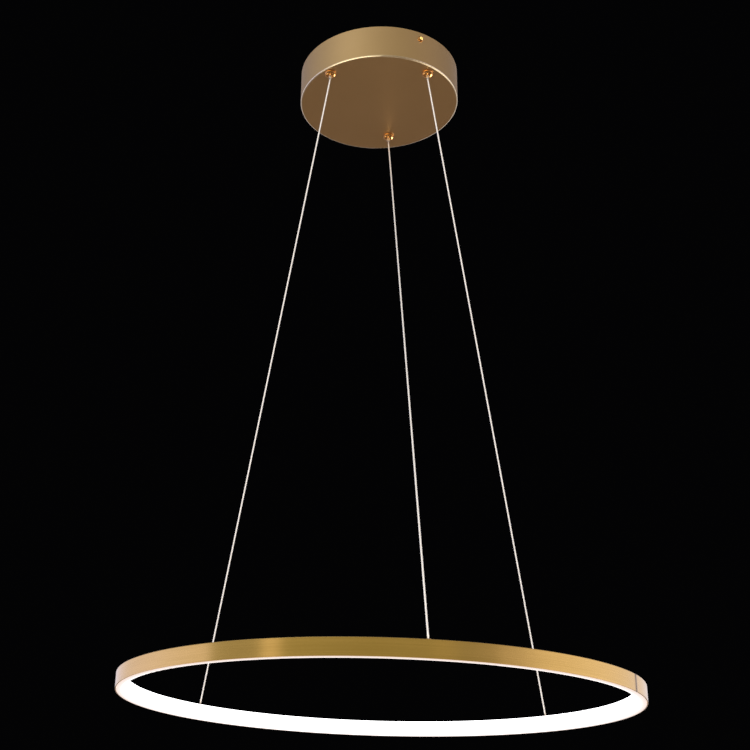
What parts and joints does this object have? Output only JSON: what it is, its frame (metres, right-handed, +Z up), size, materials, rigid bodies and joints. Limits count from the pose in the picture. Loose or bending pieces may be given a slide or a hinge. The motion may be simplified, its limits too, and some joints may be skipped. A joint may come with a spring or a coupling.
{
  "type": "led ring chandelier",
  "caption": "Slim light ring with a brushed gold outer channel and opal diffuser, hung level from a round ceiling canopy by slanting cables in adjustable grips.",
  "frame": {"origin": "centre of the ceiling bracket's top face, in the ceiling plane and on the axis of the canopy and the ring", "axes": "+Z up into the ceiling; the lamp hangs along -Z; -Y towards the viewer in the picture, +X to the viewer's right"},
  "size_m": [0.6, 0.6, 0.8743],
  "materials": {
    "canopy_metal": "satin champagne gold, electroplated",
    "ring_metal": "brushed gold, anodised",
    "polished_gold": "polished copper gold",
    "nozzle_metal": "polished pale gold",
    "opal": "opal white, lit",
    "cable": "pale translucent jacket",
    "zinc_steel": "bright zinc",
    "ball_steel": "hardened, bright",
    "driver_plastic": "moulded white",
    "board": "green solder mask",
    "components": "dark moulded",
    "terminal_plastic": "moulded off-white",
    "screw_brass": "plain brass",
    "tinned_copper": "tinned",
    "mains_lead": "insulated lead, brown and blue",
    "output_lead": "insulated lead, red and black",
    "earth_lead": "insulated lead, green and yellow",
    "strip_board": "white solder mask",
    "led_chip": "phosphor"
  },
  "bodies": {
    "canopy": {"cable_end_stop": "tinned_copper", "cable_grip_left": "polished_gold", "cable_grip_middle": "polished_gold", "cable_grip_right": "polished_gold", "cable_tail_left": "cable", "cable_tail_middle": "cable", "cable_tail_right": "cable", "canopy_cup": "canopy_metal", "canopy_side_screws": "polished_gold", "ceiling_bracket": "zinc_steel", "driver_board": "board", "driver_case": "driver_plastic", "driver_components": "components", "driver_lid": "driver_plastic", "driver_screws": "zinc_steel", "earth_lead": "earth_lead", "earth_lug": "tinned_copper", "earth_screw": "screw_brass", "grip_end_caps": "polished_gold", "grip_lock_nuts": "zinc_steel", "grip_spring_left": "ball_steel", "grip_spring_middle": "ball_steel", "grip_spring_right": "ball_steel", "grip_washers": "zinc_steel", "lead_splices": "tinned_copper", "mains_leads": "mains_lead", "output_leads": "output_lead", "suspension_cable_left": "cable", "suspension_cable_middle": "cable", "suspension_cable_right": "cable", "terminal_block": "terminal_plastic", "terminal_clamp_screws": "screw_brass", "terminal_fixing_screw": "zinc_steel"},
    "ring": {"cable_ends": "cable", "cable_ferrules": "tinned_copper", "diffuser_front": "opal", "diffuser_rear": "opal", "led_chips_front": "led_chip", "led_chips_rear": "led_chip", "led_strip_front": "strip_board", "led_strip_rear": "strip_board", "ring_cable_sockets": "polished_gold", "ring_channel_front": "ring_metal", "ring_channel_rear": "ring_metal", "ring_leads": "output_lead", "ring_socket_nuts": "screw_brass", "ring_splice_plates": "zinc_steel", "ring_splice_screws": "ring_metal", "strip_jumpers": "output_lead"},
    "release_left": {"release_plunger_left": "nozzle_metal", "grip_balls_left": "ball_steel"},
    "release_right": {"release_plunger_right": "nozzle_metal", "grip_balls_right": "ball_steel"},
    "release_middle": {"release_plunger_middle": "nozzle_metal", "grip_balls_middle": "ball_steel"}
  },
  "joints": [
    {"name": "ring_height", "type": "slide", "parent": "canopy", "child": "ring", "axis": [0, 0, 1], "range_m": [0, 0.4], "deforming": ["suspension_cable_left", "suspension_cable_right", "suspension_cable_middle"]},
    {"name": "release_left", "type": "slide", "parent": "canopy", "child": "release_left", "axis": [0, 0, 1], "range_m": [0, 0.0025], "stiffness_N_per_m": 800, "springref_m": -0.004, "deforming": ["grip_spring_left"]},
    {"name": "release_right", "type": "slide", "parent": "canopy", "child": "release_right", "axis": [0, 0, 1], "range_m": [0, 0.0025], "stiffness_N_per_m": 800, "springref_m": -0.004, "deforming": ["grip_spring_right"]},
    {"name": "release_middle", "type": "slide", "parent": "canopy", "child": "release_middle", "axis": [0, 0, 1], "range_m": [0, 0.0025], "stiffness_N_per_m": 800, "springref_m": -0.004, "deforming": ["grip_spring_middle"]}
  ]
}
